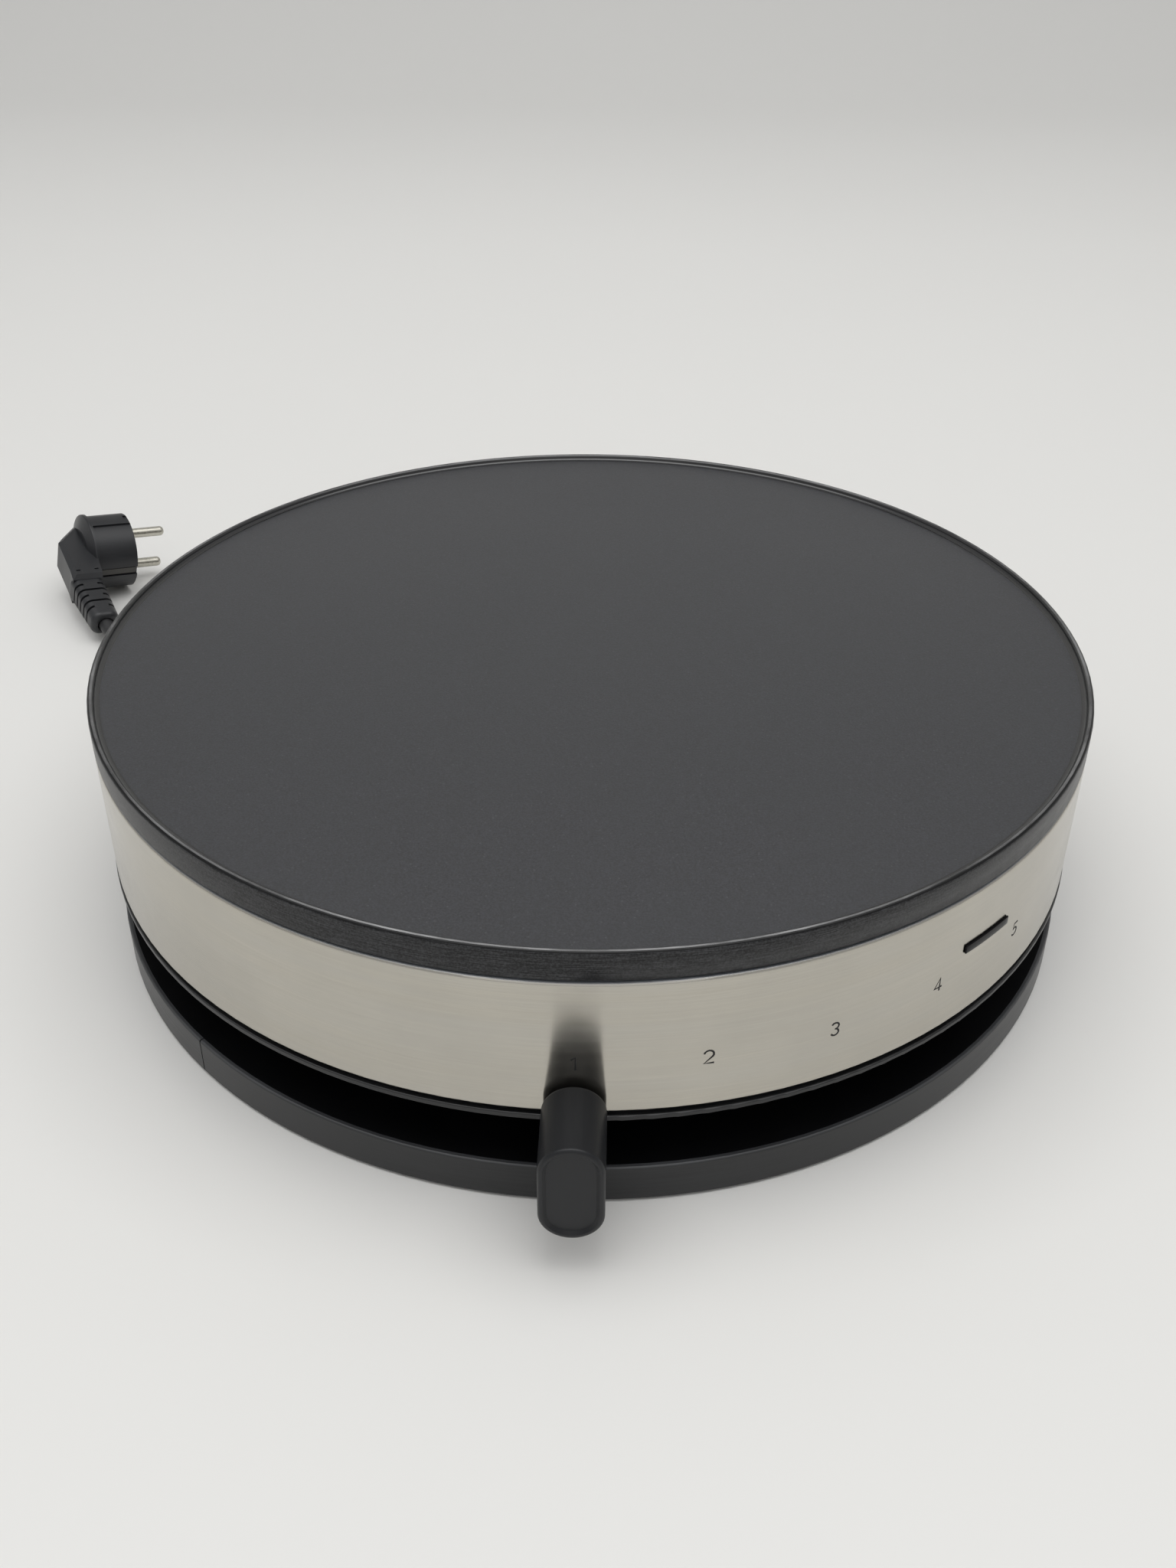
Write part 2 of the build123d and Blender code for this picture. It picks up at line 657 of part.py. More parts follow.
# ---------------------------------------------------------------- cord inside the base
def cord_relief(reach):
    """Moulded relief: plate inside the wall, neck through it, ribbed taper outside."""
    wall_y = PAN_R - WALL
    neck_r = CORD_R + 0.6
    root_r, tip_r = 5.8, 4.5
    taper_y = OUTER_R + 2.6
    corners = [
        (0, wall_y - 3.0, 0),
        (neck_r, wall_y - 3.0, 0),
        (neck_r, OUTER_R + 0.2, 0),
        (root_r + 0.6, OUTER_R + 0.2, 0),
        (root_r + 0.6, taper_y, 0.8),
    ]
    for i in range(4):
        y = taper_y + 3.0 + 5.2 * i
        r = root_r + (tip_r - root_r) * (y - taper_y) / (reach - taper_y)
        corners += [(r, y, 0.3), (CORD_R + 0.5, y, 0), (CORD_R + 0.5, y + 1.6, 0), (r - 0.1, y + 1.6, 0.3)]
    corners += [(tip_r, reach, 0.6), (0, reach, 0)]
    sleeve = Pos(0, 0, OUTLET_Z) * Rot(-90, 0, 0) * turned(*corners)
    plate = block(-9, 9, wall_y - 3.0, wall_y - 0.4, COVER_Z + COVER_T + 0.2, DECK_Z - WALL - 0.2)
    return plate + sleeve


def cord_tail():
    """Cord inside the base, from the relief to the terminal block."""
    tail = Cylinder(CORD_R, 54, rotation=(90, 0, 0))
    return Pos(0, PAN_R - WALL - 3.0 - 27, OUTLET_Z) * tail


def cord_clamp():
    """Saddle over the cord tail, with two screws down into the cover."""
    y = 128.0 - 8
    floor = COVER_Z + COVER_T
    saddle = block(-13, 13, y - 4, y + 4, floor, floor + 4)
    saddle += Pos(0, y, OUTLET_Z) * Cylinder(5.5, 8, rotation=(90, 0, 0))
    saddle &= block(-13, 13, y - 4, y + 4, floor, floor + 12)
    return saddle - Pos(0, y, OUTLET_Z) * Cylinder(CORD_R + 0.02, 10, rotation=(90, 0, 0))


def terminal_block():
    """Three-pole block with screw wells."""
    floor = COVER_Z + COVER_T
    body = block(-17, 17, 92, 108, floor, floor + 13)
    for x in (-11, 0, 11):
        body -= Pos(x, 96, 0) * rod(2.6, floor + 5, floor + 14)
        body -= Pos(x, 104, 0) * rod(2.6, floor + 5, floor + 14)
    return body


# ---------------------------------------------------------------- free cord
def coil_ring(tie):
    """Outer shape of the wound coil, narrowed where the tie grips it."""
    half = COIL_COLUMNS * CORD_R
    high = COIL_FLOOR + COIL_LAYERS * 2 * CORD_R
    ring = turned(
        (COIL_MID_R - half, COIL_FLOOR, 2.5),
        (COIL_MID_R + half, COIL_FLOOR, 2.5),
        (COIL_MID_R + half, high, 2.5),
        (COIL_MID_R - half, high, 2.5),
    )
    return Pos(*COIL_CENTRE, 0) * ring - tie


def cord_tie():
    """Strap round the coil's turns on the side nearest the body."""
    half = COIL_COLUMNS * CORD_R
    high = COIL_FLOOR + COIL_LAYERS * 2 * CORD_R
    side = Plane(origin=(COIL_MID_R, 0, (COIL_FLOOR + high) / 2), x_dir=(1, 0, 0), z_dir=(0, 1, 0))
    outer = extrude(side * RectangleRounded(2 * half + 0.8, high - COIL_FLOOR + 0.2, 3), 6, both=True)
    inner = extrude(side * RectangleRounded(2 * half - 0.8, high - COIL_FLOOR - 1.4, 2.2), 7, both=True)
    return Pos(*COIL_CENTRE, 0) * Rot(0, 0, -60) * (outer - inner)


def trimmed(tube, neighbours):
    """The tube without what its neighbours take, as one solid."""
    return (tube - neighbours).solids().sort_by(SortBy.VOLUME)[-1]


def cord_to_coil(reach, neighbours):
    """Short free stretch from the relief onto the coil's outer turn."""
    route = [
        (0.0, reach, OUTLET_Z),
        (0.3, reach + 16.5, 7.0),
        (0.4, reach + 32.5, 4.1),
        (0.0, COIL_CENTRE[1], COIL_FLOOR + CORD_R),
    ]
    return trimmed(cord_tube(route, CORD_R, "cord_to_coil"), neighbours)


def cord_to_plug(plug_end, plug_way, neighbours):
    """Free stretch from the coil's top turn round the body to the plug."""
    leave = radians(COIL_LEAVE_DEG)
    outer_turn = COIL_MID_R + (COIL_COLUMNS - 1) * CORD_R
    top = COIL_FLOOR + (2 * COIL_LAYERS - 1) * CORD_R
    start = (COIL_CENTRE[0] + outer_turn * cos(leave), COIL_CENTRE[1] + outer_turn * sin(leave), top)
    landing = plug_end + plug_way * ((CORD_LAID - plug_end.Z) / plug_way.Z)
    route = [
        start,
        (-95.0, 262.5, 6.4),
        (-111.5, 233.5, CORD_LAID),
        (-126.0, 204.0, CORD_LAID),
        (-138.1, 174.6, CORD_LAID),
        (-155.0, 142.8, CORD_LAID),
        (-187.6, 133.2, CORD_LAID),
        (landing.X, landing.Y, landing.Z),
        (plug_end.X, plug_end.Y, plug_end.Z),
    ]
    print("cord lands at", landing)
    return trimmed(cord_tube(route, CORD_R, "cord_to_plug"), neighbours)


# ---------------------------------------------------------------- plug
def plug_place():
    """The plug's frame: X along the pins, -Y along the cord, Z from pin to pin."""
    yaw, dip, roll = radians(PLUG_YAW), radians(PLUG_DIP), radians(PLUG_ROLL)
    pins = Vector(cos(yaw) * cos(dip), sin(yaw) * cos(dip), -sin(dip))
    level = Vector(sin(yaw), -cos(yaw), 0)
    cord_way = level * cos(roll) + pins.cross(level) * sin(roll)
    upright = cord_way.cross(pins)
    return Plane(origin=(*PLUG_AT, 0), x_dir=pins, z_dir=upright), cord_way


def plug_barrel():
    """Round barrel: four sunk grip bands, two rim notches and two grooves for the earth clips."""
    barrel = turned(
        (0, -BARREL_L - 2.4, 0),
        (13, -BARREL_L - 2.4, 1.5),
        (PLUG_R, -BARREL_L, 0.8),
        (PLUG_R, 0, 1.2),
        (0, 0, 0),
    )
    sunk_r = PLUG_R - GRIP_SINK
    back = -BARREL_L + BARREL_RIM
    band = [(sunk_r, back, 0.3), (PLUG_R + 1, back, 0), (PLUG_R + 1, 1, 0), (sunk_r, 1, 0)]
    barrel -= [turned(*band, arc=72, start=a) for a in (11, 97, 191, 277)]
    notch = block(sunk_r, PLUG_R + 1, -GROOVE_HALF_W, GROOVE_HALF_W, -2.5, 1)
    groove = block(-GROOVE_HALF_W, GROOVE_HALF_W, PLUG_R - GROOVE_DEPTH, PLUG_R + 1, back, 1)
    barrel -= [notch, Rot(0, 0, 180) * notch, groove, Rot(0, 0, 180) * groove]
    return Rot(0, 90, 0) * barrel


def plug_spine():
    """Flat-sided block behind the barrel that turns the cord's way down, with two small marks."""
    side = Polyline(
        (-20.0, 14.0),
        (-23.3, 12.7),
        (-31.3, 4.5),
        (-34.3, 1.0),
        (-35.6, -22.0),
        (-36.6, -30.0),
        (-22.0, -30.0),
        (-20.0, -16.0),
        close=True,
    )
    spine = extrude(make_face(side), SPINE_HALF, both=True)
    long_edges = spine.edges().filter_by(lambda e: abs(abs(e.center().Z) - SPINE_HALF) < 0.01)
    spine = chamfer(long_edges.filter_by(lambda e: e.center().X < -25), 1.9)
    mark = block(-1, 1, -25.5, -24.5, SPINE_HALF - 0.5, SPINE_HALF + 1)
    return spine - [Pos(x, 0, 0) * mark for x in (-32.6, -23.6)]


def relief_section(out, width, height, corner):
    """Cross-section of the plug's relief at a distance from the pins' axis."""
    face = Plane(origin=(-RELIEF_BACK, -out, 0), x_dir=(1, 0, 0), z_dir=(0, -1, 0))
    return face * RectangleRounded(width, height, corner)


def plug_relief():
    """Tapered relief: slots from both sides take turns with grooves all round."""
    relief = loft([relief_section(28, 15.4, 13.6, 3.4), relief_section(RELIEF_OUT, 13.4, 12.2, 4.6)])
    relief = fillet(relief.edges().group_by(Axis.Y)[0], 2.6)
    side_slot = block(3.4, 12, -RELIEF_SLOT_W, 0, -12, 12)
    for out in (33.0, 41.5, 50.0):
        at = Pos(-RELIEF_BACK, -out, 0)
        relief -= [at * side_slot, at * Rot(0, 180, 0) * side_slot]
    for out in (37.25, 45.75):
        ring = extrude(relief_section(out, 24, 24, 1), RELIEF_SLOT_W)
        relief -= ring - extrude(relief_section(out, 10.6, 9.0, 3), RELIEF_SLOT_W)
    mouth = Cylinder(CORD_R + 0.5, 2 * CORD_SEAT, rotation=(90, 0, 0))
    return relief - Pos(-RELIEF_BACK, -RELIEF_OUT, 0) * mouth


def plug_body():
    return plug_barrel() + plug_spine() + plug_relief() - plug_pin_rods()


def plug_pin_rods():
    """Round pins, each with a wider root held in the barrel."""
    pin = Rot(0, 90, 0) * turned(
        (0, -PIN_ROOT_L, 0),
        (PIN_ROOT_R, -PIN_ROOT_L, 0.5),
        (PIN_ROOT_R, 0, 0),
        (PIN_R, 0, 0),
        (PIN_R, PIN_L, 2.0),
        (0, PIN_L, 0),
    )
    return [Pos(0, 0, z) * pin for z in (-PIN_PITCH / 2, PIN_PITCH / 2)]


def plug_earth_clips():
    """Contact strips on the floors of the barrel's grooves."""
    floor = -PLUG_R + GROOVE_DEPTH
    strip = block(-BARREL_L + BARREL_RIM + 0.6, -0.8, floor - 0.7, floor, -1.6, 1.6)
    strip = fillet(strip.edges().filter_by(Axis.Z), 0.3)
    return [strip, Rot(180, 0, 0) * strip]


# ---------------------------------------------------------------- build
def build():
    nodes = {}
    element = heating_element()
    nodes["hot_plate"] = hot_plate(element)
    nodes["heating_element"] = element
    nodes["element_terminals"] = element_terminals()
    nodes["plate_gasket"] = plate_gasket()
    nodes["heat_shield"] = heat_shield()
    nodes["thermal_cutout"] = thermal_cutout()
    nodes["plate_studs"] = plate_studs()
    nodes["stud_spacers"] = stud_spacers()
    nodes["stud_nuts"] = stud_nuts()
    nodes["steel_drum"] = steel_drum()
    nodes["indicator_lens"] = indicator_lens()
    nodes["lamp_holder"] = lamp_holder()
    nodes["indicator_lamp"] = indicator_lamp()
    nodes["housing_tray"] = housing_tray()
    nodes["pedestal_ring"] = pedestal_ring()
    nodes["pedestal_screws"] = pedestal_screws()
    nodes["base_trim"] = base_trim()
    nodes["base_pan"] = base_pan()
    nodes["bottom_cover"] = bottom_cover()
    nodes["rubber_feet"] = rubber_feet()
    nodes["cover_screws"] = cover_screws()
    nodes["thermostat"] = thermostat()
    nodes["thermostat_screws"] = thermostat_screws()
    nodes["thermostat_shaft"] = thermostat_shaft()
    nodes["lever_arm"] = lever_arm()
    nodes["lever_knob"] = lever_knob()
    nodes["hub_screw"] = hub_screw()
    nodes["terminal_block"] = terminal_block()
    nodes["cord_clamp"] = cord_clamp()
    nodes["cord_tail"] = cord_tail()

    reach = -nodes["lever_knob"].bounding_box().min.Y
    nodes["cord_relief"] = cord_relief(reach)
    nodes["base_pan"] -= nodes["cord_relief"]

    frame, cord_way = plug_place()
    body = frame * plug_body()
    lift = 0.02 - body.bounding_box().min.Z
    place = Pos(0, 0, lift) * frame.location
    nodes["plug_body"] = Pos(0, 0, lift) * body
    nodes["plug_pins"] = group([place * pin for pin in plug_pin_rods()])
    nodes["plug_earth_clips"] = group([place * clip for clip in plug_earth_clips()])
    plug_end = (place * Pos(-RELIEF_BACK, CORD_SEAT - RELIEF_OUT, 0)).position
    print("plug lift", round(lift, 2), "plug end", plug_end, "cord way", cord_way)

    tie = cord_tie()
    coil = coil_ring(tie)
    nodes["cord_tie"] = tie
    nodes["cord_coil"] = coil
    nodes["cord_to_coil"] = cord_to_coil(reach, [coil, tie, nodes["cord_relief"]])
    nodes["cord_to_plug"] = cord_to_plug(plug_end, cord_way, [coil, tie, nodes["plug_body"]])
    print("relief tip at", round(reach, 3))
    return nodes


os.makedirs("parts", exist_ok=True)
for node_name, shape in build().items():
    export_step(shape, f"parts/{node_name}.step")
    print("wrote", node_name)
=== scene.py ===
import bpy
import bmesh
import math
from mathutils import Matrix, Vector


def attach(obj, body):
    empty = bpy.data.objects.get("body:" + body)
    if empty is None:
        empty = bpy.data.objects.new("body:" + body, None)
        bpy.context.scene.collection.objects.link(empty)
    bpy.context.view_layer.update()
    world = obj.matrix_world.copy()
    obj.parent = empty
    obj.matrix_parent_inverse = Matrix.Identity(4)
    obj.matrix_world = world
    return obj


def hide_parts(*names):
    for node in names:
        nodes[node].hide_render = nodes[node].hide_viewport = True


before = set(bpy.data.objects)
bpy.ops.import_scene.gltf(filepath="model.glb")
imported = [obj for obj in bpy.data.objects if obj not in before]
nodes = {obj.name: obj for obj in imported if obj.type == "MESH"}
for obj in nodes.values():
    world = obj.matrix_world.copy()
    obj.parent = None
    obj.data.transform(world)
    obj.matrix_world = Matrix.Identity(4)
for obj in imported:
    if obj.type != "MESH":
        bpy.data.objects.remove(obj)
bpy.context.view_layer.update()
bodyRadius = 0.175
print("frame loaded:", len(nodes), "nodes")

# camera, at the height and tilt of a person looking down at the worktop
cameraSet = {
    "place": (0.0, -0.4921, 0.3634),
    "forward": (-0.00107, 0.83093, -0.55637),
    "rollDeg": 0.406,
    "lens": 35.6,
    "sensor": 36.0,
    "clip": (0.01, 50.0),
}


def makeCamera(s):
    data = bpy.data.cameras.new("camera")
    data.sensor_width = s["sensor"]
    data.lens = s["lens"]
    data.clip_start, data.clip_end = s["clip"]
    cam = bpy.data.objects.new("camera", data)
    bpy.context.scene.collection.objects.link(cam)
    turn = Vector(s["forward"]).to_track_quat("-Z", "Y").to_matrix()
    turn = turn @ Matrix.Rotation(math.radians(s["rollDeg"]), 3, "Z")
    cam.matrix_world = Matrix.Translation(s["place"]) @ turn.to_4x4()
    bpy.context.scene.camera = cam


makeCamera(cameraSet)
bpy.context.scene.view_settings.view_transform = "Standard"
print("camera placed")


# small helpers for meshes
def addObject(name, data, body="housing"):
    obj = bpy.data.objects.new(name, data)
    bpy.context.scene.collection.objects.link(obj)
    if body:
        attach(obj, body)
    return obj


def meshFrom(bm, name):
    mesh = bpy.data.meshes.new(name)
    bm.to_mesh(mesh)
    bm.free()
    return mesh


def shadeSmooth(mesh, angleDeg=35):
    mesh.shade_smooth()
    mesh.set_sharp_from_angle(angle=math.radians(angleDeg))


def azimuthPoint(radius, azimuthDeg, z):
    turn = math.radians(azimuthDeg)
    return Vector((radius * math.sin(turn), -radius * math.cos(turn), z))


# small helpers for materials
def addNode(tree, kind, inputs=None, **settings):
    made = tree.nodes.new(kind)
    for key, value in settings.items():
        setattr(made, key, value)
    for socket, value in (inputs or {}).items():
        if isinstance(value, bpy.types.NodeSocket):
            tree.links.new(value, made.inputs[socket])
        else:
            made.inputs[socket].default_value = value
    return made


def math2(tree, operation, a, b):
    return addNode(tree, "ShaderNodeMath", {0: a, 1: b}, operation=operation).outputs[0]


def newMaterial(name, color, roughness, metallic=0.0, **sockets):
    mat = bpy.data.materials.new(name)
    mat.use_nodes = True
    shader = mat.node_tree.nodes["Principled BSDF"]
    shader.inputs["Base Color"].default_value = (*color, 1.0)
    shader.inputs["Roughness"].default_value = roughness
    shader.inputs["Metallic"].default_value = metallic
    for key, value in sockets.items():
        shader.inputs[key.replace("_", " ")].default_value = value
    return mat, mat.node_tree, shader


def objectPoint(tree):
    return addNode(tree, "ShaderNodeTexCoord").outputs["Object"]


def pointAxis(tree, axis):
    # how far a point lies along one of the body's axes
    return addNode(tree, "ShaderNodeSeparateXYZ", {0: objectPoint(tree)}).outputs[axis]


def ringPoint(tree, along, up):
    # distance round the axis, depth and height, so that a pattern runs round the body
    forward = math2(tree, "MULTIPLY", pointAxis(tree, "Y"), -1.0)
    angle = math2(tree, "ARCTAN2", pointAxis(tree, "X"), forward)
    arc = math2(tree, "MULTIPLY", angle, bodyRadius * along)
    height = math2(tree, "MULTIPLY", pointAxis(tree, "Z"), up)
    reach = addNode(tree, "ShaderNodeVectorMath", {0: objectPoint(tree)}, operation="LENGTH")
    depth = math2(tree, "MULTIPLY", reach.outputs["Value"], up)
    return addNode(tree, "ShaderNodeCombineXYZ", {0: arc, 1: depth, 2: height}).outputs[0]


def planRadius(tree):
    # distance from the body's axis, at any height
    point = {0: objectPoint(tree), 1: (1.0, 1.0, 0.0)}
    flat = addNode(tree, "ShaderNodeVectorMath", point, operation="MULTIPLY").outputs[0]
    return addNode(tree, "ShaderNodeVectorMath", {0: flat}, operation="LENGTH").outputs["Value"]


def noise(tree, vector, scale=1.0, detail=3.0, rough=0.5):
    settings = {"Vector": vector, "Scale": scale, "Detail": detail, "Roughness": rough}
    return addNode(tree, "ShaderNodeTexNoise", settings).outputs[0]


def spread(tree, value, low, high, fromLow=0.3, fromHigh=0.7):
    # 0.3 to 0.7 is where nearly all of a noise lies
    settings = {0: value, 1: fromLow, 2: fromHigh, 3: low, 4: high}
    return addNode(tree, "ShaderNodeMapRange", settings).outputs[0]


def around(tree, pattern, roughness, give):
    # a roughness that a pattern moves a little down and up
    less, more = give
    return spread(tree, pattern, roughness - less, roughness + more)


def mixValue(tree, share, a, b):
    return addNode(tree, "ShaderNodeMix", {0: share, 2: a, 3: b}).outputs[0]


def mixColor(tree, share, a, b):
    inputs = {0: share}
    for socket, value in ((6, a), (7, b)):  # the two colours among a Mix node's sockets
        inputs[socket] = value if isinstance(value, bpy.types.NodeSocket) else (*value, 1.0)
    return addNode(tree, "ShaderNodeMix", inputs, data_type="RGBA").outputs[2]


def toned(color, factor):
    return [c * factor for c in color]


def addBump(tree, shader, height, distance, strength=1.0):
    settings = {"Height": height, "Distance": distance, "Strength": strength}
    bump = addNode(tree, "ShaderNodeBump", settings).outputs[0]
    tree.links.new(bump, shader.inputs["Normal"])


def connect(tree, shader, **sockets):
    for key, value in sockets.items():
        tree.links.new(value, shader.inputs[key.replace("_", " ")])


# what every plain moulding has: soft patches, a little lighter and rougher
mouldedSet = {
    "patchScale": 35.0,
    "lift": 0.001,
    "give": (0.05, 0.06),
}


def mouldedPlastic(s, name, color, roughness, grain, relief, wear, specular=0.5):
    mat, tree, shader = newMaterial(name, color, roughness, Specular_IOR_Level=specular)
    point = objectPoint(tree)
    fine = noise(tree, point, grain, detail=2.0)
    broad = noise(tree, point, s["patchScale"], detail=4.0)
    lighter = [min(1.0, c * (1 + wear) + s["lift"]) for c in color]
    connect(
        tree,
        shader,
        Base_Color=mixColor(tree, spread(tree, broad, 0.0, 1.0), color, lighter),
        Roughness=around(tree, broad, roughness, s["give"]),
    )
    addBump(tree, shader, fine, relief)
    return mat


# what every plain metal has: a fine grain, a little darker and rougher
turnedSet = {
    "darkTone": 0.82,
    "give": (0.06, 0.1),
    "relief": 0.00002,
}


def turnedMetal(s, name, color, roughness, grain=900.0, metallic=1.0):
    mat, tree, shader = newMaterial(name, color, roughness, metallic)
    fine = noise(tree, objectPoint(tree), grain)
    connect(
        tree,
        shader,
        Base_Color=mixColor(tree, spread(tree, fine, 0.0, 1.0), toned(color, s["darkTone"]), color),
        Roughness=around(tree, fine, roughness, s["give"]),
    )
    addBump(tree, shader, fine, s["relief"])
    return mat


# steel of the drum: hairlines that run round it, faint clouds, and a rolled lip on top painted darker
# and bluer as painted shade that tones its reflection down to a thin bluish line
steelSet = {
    "color": (0.55, 0.52, 0.455),
    "hairTones": (0.88, 1.05),
    "cooler": (0.53, 0.515, 0.475),
    "coolerShare": 0.5,
    "cloud": (0.34, 0.33, 0.31),
    "cloudShare": 0.16,
    "cloudScale": 26.0,
    "roughness": 0.17,
    "give": (0.03, 0.03),
    "anisotropic": 0.94,
    "grainTurn": 0.25,
    # the lip's colour is painted shade, darker and bluer than the steel
    "paintedLip": (0.29, 0.31, 0.34),
    "lipRough": 0.38,
    "lipStart": 0.0856,
    "lipBlend": 0.0004,
    "hairs": (34.0, 4300.0),  # how fine a pattern is round the body, then upwards
    "streaks": (12.0, 1100.0),
    "streakLeast": 0.3,
    "bands": (9.0, 120.0),
    "relief": 0.0000015,
}


def brushedSteel(s):
    mat, tree, shader = newMaterial("brushedSteel", s["color"], s["roughness"], 1.0)
    shader.inputs["Anisotropic"].default_value = s["anisotropic"]
    shader.inputs["Anisotropic Rotation"].default_value = s["grainTurn"]
    tangent = addNode(tree, "ShaderNodeTangent", direction_type="RADIAL", axis="Z").outputs[0]
    hairs = noise(tree, ringPoint(tree, *s["hairs"]), rough=0.6)
    streaks = noise(tree, ringPoint(tree, *s["streaks"]), detail=4.0, rough=0.65)
    bands = noise(tree, ringPoint(tree, *s["bands"]), detail=4.0, rough=0.6)
    clouds = noise(tree, objectPoint(tree), s["cloudScale"], detail=4.0, rough=0.6)
    streaked = spread(tree, streaks, s["streakLeast"], 1.0)
    grain = math2(tree, "MULTIPLY", spread(tree, hairs, 0.0, 1.0), streaked)
    dark, light = s["hairTones"]
    color = mixColor(tree, grain, toned(s["color"], dark), toned(s["color"], light))
    color = mixColor(tree, spread(tree, bands, 0.0, s["coolerShare"]), color, s["cooler"])
    color = mixColor(tree, spread(tree, clouds, 0.0, s["cloudShare"]), color, s["cloud"])
    # where the painted shade of the lip begins
    paintedLip = spread(tree, pointAxis(tree, "Z"), 0.0, 1.0, s["lipStart"], s["lipStart"] + s["lipBlend"])
    color = mixColor(tree, paintedLip, color, s["paintedLip"])
    cloudRough = around(tree, clouds, 0.0, s["give"])
    bandRough = around(tree, bands, s["roughness"], s["give"])
    rough = mixValue(tree, paintedLip, math2(tree, "ADD", cloudRough, bandRough), s["lipRough"])
    connect(tree, shader, Base_Color=color, Roughness=rough, Tangent=tangent)
    addBump(tree, shader, hairs, s["relief"], strength=0.6)
    return mat


# plate, in rings from the cooking face out: coat, a hollow darkened with painted shade, and a painted
# highlight on the inner edge of the bead
plateSet = {
    "coat": (0.0132, 0.0142, 0.0184),
    "coatTones": (0.42, 1.7),
    "coatRough": 0.42,
    "coatGive": (0.02, 0.03),
    "specular": 1.0,
    "grainScale": 1700.0,
    "relief": 0.00004,
    "broadScale": 9.0,
    "speck": (0.16, 0.165, 0.17),
    "speckShare": 0.26,
    "speckScale": 420.0,
    "speckSize": 0.16,
    # the hollow's colour is painted shade, much darker than the coat
    "hollow": (0.0030, 0.0032, 0.0040),
    "hollowRough": 0.22,
    "hollowFrom": 0.1712,
    "hollowBlend": 0.0006,
    # the bead's inner edge carries a painted highlight, in patches, from a low to a high colour
    "glintLow": (0.014, 0.014, 0.016),
    "glintHigh": (0.420, 0.420, 0.424),
    "glintFront": (-0.170, -0.145),  # the painted highlight is full at the front and fades between these
    "glintBack": 0.42,
    "glintRough": 0.14,
    "glintFrom": 0.17335,
    "glintBlend": 0.0001,
    "highlightPatchScale": 17.0,
    "highlightPatchRange": (0.38, 0.64),
}


def nonstickPlate(s):
    coat, coatRough = s["coat"], s["coatRough"]
    mat, tree, shader = newMaterial("nonstickCoat", coat, coatRough, Specular_IOR_Level=s["specular"])
    point = objectPoint(tree)
    radius = planRadius(tree)
    grain = noise(tree, point, s["grainScale"], detail=2.0)
    broad = noise(tree, point, s["broadScale"])
    cells = addNode(tree, "ShaderNodeTexVoronoi", {"Vector": point, "Scale": s["speckScale"]})
    sparkle = spread(tree, cells.outputs["Distance"], 1.0, 0.0, 0.0, s["speckSize"])
    dark, light = s["coatTones"]
    color = mixColor(tree, spread(tree, grain, 0.0, 1.0), toned(coat, dark), toned(coat, light))
    color = mixColor(tree, math2(tree, "MULTIPLY", sparkle, s["speckShare"]), color, s["speck"])
    rough = around(tree, broad, coatRough, s["coatGive"])
    # painted highlight on the bead's inner edge, in patches and fuller at the front
    highlightPatches = noise(tree, point, s["highlightPatchScale"], detail=5.0, rough=0.65)
    highlightPatches = spread(tree, highlightPatches, 0.0, 1.0, *s["highlightPatchRange"])
    frontness = spread(tree, pointAxis(tree, "Y"), 1.0, s["glintBack"], *s["glintFront"])
    paintedGlint = mixColor(tree, math2(tree, "MULTIPLY", highlightPatches, frontness), s["glintLow"], s["glintHigh"])
    rings = [
        (s["hollowFrom"], s["hollowBlend"], s["hollow"], s["hollowRough"]),
        (s["glintFrom"], s["glintBlend"], paintedGlint, s["glintRough"]),
    ]
    for start, blend, ringColor, ringRough in rings:
        share = spread(tree, radius, 0.0, 1.0, start - blend, start)
        color = mixColor(tree, share, color, ringColor)
        rough = mixValue(tree, share, rough, ringRough)
    connect(tree, shader, Base_Color=color, Roughness=rough)
    onTop = spread(tree, radius, 1.0, 0.0, s["hollowFrom"] - s["hollowBlend"], s["hollowFrom"])
    addBump(tree, shader, math2(tree, "MULTIPLY", grain, onTop), s["relief"], strength=0.6)
    return mat


# rim of the plate: black bead above, and a wall with fine scratches that run round it
rimSet = {
    "bead": (0.0010, 0.0011, 0.0014),
    "beadRough": 0.30,
    "specular": 0.30,
    "scratchLow": (0.0030, 0.0031, 0.0037),
    "scratchHigh": (0.060, 0.061, 0.065),
    "scratchRange": (0.42, 0.66),
    "scratchRough": (0.26, 0.44),
    "scratches": (110.0, 3200.0),
    "speckScale": 1600.0,
    "speckShare": 0.35,
    "wallFrom": 0.17482,
    "wallBlend": 0.0001,
    "relief": 0.000022,
}


def enamelRim(s):
    bead, beadRough = s["bead"], s["beadRough"]
    mat, tree, shader = newMaterial("rimEnamel", bead, beadRough, Specular_IOR_Level=s["specular"])
    onWall = spread(tree, planRadius(tree), 0.0, 1.0, s["wallFrom"] - s["wallBlend"], s["wallFrom"])
    scratches = noise(tree, ringPoint(tree, *s["scratches"]), detail=4.0, rough=0.72)
    specks = noise(tree, objectPoint(tree), s["speckScale"], detail=2.0)
    marks = mixValue(tree, s["speckShare"], scratches, specks)
    marks = spread(tree, marks, 0.0, 1.0, *s["scratchRange"])
    side = mixColor(tree, marks, s["scratchLow"], s["scratchHigh"])
    rough = mixValue(tree, onWall, beadRough, spread(tree, scratches, *s["scratchRough"]))
    connect(tree, shader, Base_Color=mixColor(tree, onWall, bead, side), Roughness=rough)
    addBump(tree, shader, math2(tree, "MULTIPLY", scratches, onWall), s["relief"], strength=0.5)
    return mat


# grip of the lever: satin black with a faint grain that runs up it
knobSet = {
    "color": (0.0098, 0.0106, 0.0126),
    "tones": (0.93, 1.07),
    "roughness": 0.40,
    "give": (0.04, 0.05),
    "specular": 0.36,
    "grainScale": (2600.0, 160.0, 160.0),
    "fineScale": 2400.0,
    "relief": 0.000012,
}


